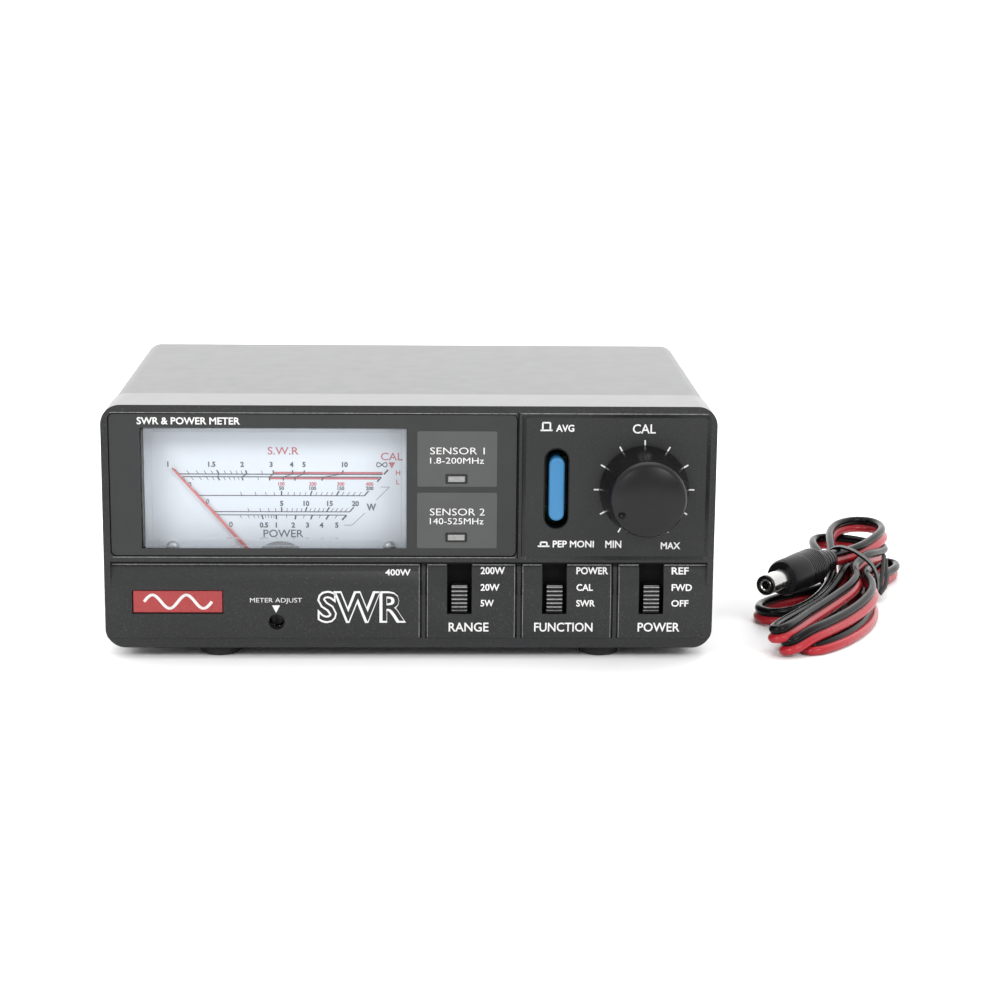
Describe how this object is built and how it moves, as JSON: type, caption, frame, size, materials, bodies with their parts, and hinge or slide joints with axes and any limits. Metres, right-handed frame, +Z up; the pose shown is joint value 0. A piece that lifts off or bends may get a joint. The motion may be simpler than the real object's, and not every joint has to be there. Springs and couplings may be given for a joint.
{
  "type": "swr meter",
  "caption": "Desktop SWR and power meter: needle dial under a clear lens, turning control, push button, slide switches, coax sockets at the back, and a coiled DC lead.",
  "frame": {"origin": "on the surface it stands on, under the centre of the meter from front to back and side to side (lead left out)", "axes": "+X to the right seen from the front, -Y towards the viewer of the dial, +Z up"},
  "size_m": [0.2286, 0.129, 0.066],
  "materials": {
    "charcoal_plastic": "moulded, fine speckle",
    "facia_film": "smooth satin sheet",
    "black_plastic": "satin",
    "gloss_black": "polished skirt, satin face",
    "blue_plastic": "satin",
    "red_badge": "gloss",
    "red_pointer": "matte",
    "dial_card": "matte, printed scales",
    "clear_plastic": "polished",
    "ivory_plastic": "satin",
    "grey_plastic": "matte",
    "painted_steel": "fine satin texture",
    "nickel": "bright plate",
    "brass": "turned",
    "tinplate": "plain",
    "rubber": "matte",
    "circuit_board": "solder mask",
    "copper": "enamelled winding",
    "lead_vinyl": "soft vinyl, red and black cores"
  },
  "bodies": {
    "housing": {"badge_plate": "red_badge", "cal_nut": "nickel", "cal_potentiometer": "tinplate", "chassis": "painted_steel", "contact_1_input": "brass", "contact_1_output": "brass", "contact_2_input": "brass", "contact_2_output": "brass", "cover_screw_left_front": "black_plastic", "cover_screw_left_rear": "black_plastic", "cover_screw_right_front": "black_plastic", "cover_screw_right_rear": "black_plastic", "dc_jack": "black_plastic", "dial_plate": "dial_card", "dial_screw_left": "nickel", "dial_screw_right": "nickel", "facia_sheet": "facia_film", "foot_left_front": "rubber", "foot_left_rear": "rubber", "foot_right_front": "rubber", "foot_right_rear": "rubber", "front_bezel": "charcoal_plastic", "function_switch_body": "tinplate", "insulator_1_input": "ivory_plastic", "insulator_1_output": "ivory_plastic", "insulator_2_input": "ivory_plastic", "insulator_2_output": "ivory_plastic", "lead_hank": "lead_vinyl", "lead_tie": "black_plastic", "main_board": "circuit_board", "meter_case": "ivory_plastic", "meter_lamp": "clear_plastic", "meter_lens": "clear_plastic", "meter_magnet": "tinplate", "mode_switch_body": "black_plastic", "pivot_cover": "grey_plastic", "plug_barrel": "nickel", "plug_body": "black_plastic", "power_switch_body": "tinplate", "range_switch_body": "tinplate", "sensor_1_board": "circuit_board", "sensor_1_box": "tinplate", "sensor_1_led": "grey_plastic", "sensor_2_board": "circuit_board", "sensor_2_box": "tinplate", "sensor_2_led": "grey_plastic", "socket_1_input": "nickel", "socket_1_output": "nickel", "socket_2_input": "nickel", "socket_2_output": "nickel", "top_cover": "painted_steel"},
    "pointer_movement": {"needle": "red_pointer", "moving_coil": "copper"},
    "cal_control": {"cal_knob": "gloss_black", "cal_shaft": "nickel"},
    "push_button": {"mode_button": "blue_plastic"},
    "range_switch": {"range_slider": "black_plastic"},
    "function_switch": {"function_slider": "black_plastic"},
    "power_switch": {"power_slider": "black_plastic"},
    "zero_adjuster": {"zero_adjust_screw": "black_plastic"}
  },
  "joints": [
    {"name": "needle_swing", "type": "hinge", "parent": "housing", "child": "pointer_movement", "pos_m": [-0.033, -0.0419, 0.017], "axis": [0, 1, 0], "range_deg": [0, 83.6], "stiffness_Nm_per_rad": 0.001},
    {"name": "cal_knob_turn", "type": "hinge", "parent": "housing", "child": "cal_control", "pos_m": [0.0593, -0.051, 0.0445], "axis": [0, 1, 0], "range_deg": [-30, 270]},
    {"name": "mode_button_press", "type": "slide", "parent": "housing", "child": "push_button", "axis": [0, 1, 0], "range_m": [0, 0.003], "stiffness_N_per_m": 30, "springref_m": -0.002},
    {"name": "zero_adjust_turn", "type": "hinge", "parent": "housing", "child": "zero_adjuster", "pos_m": [-0.034, -0.047, 0.00985], "axis": [0, 1, 0], "range_deg": [-60, 60]},
    {"name": "range_slide", "type": "slide", "parent": "housing", "child": "range_switch", "axis": [0, 0, 1], "range_m": [0, 0.0056]},
    {"name": "function_slide", "type": "slide", "parent": "housing", "child": "function_switch", "axis": [0, 0, 1], "range_m": [0, 0.0056]},
    {"name": "power_slide", "type": "slide", "parent": "housing", "child": "power_switch", "axis": [0, 0, 1], "range_m": [0, 0.0056]}
  ]
}
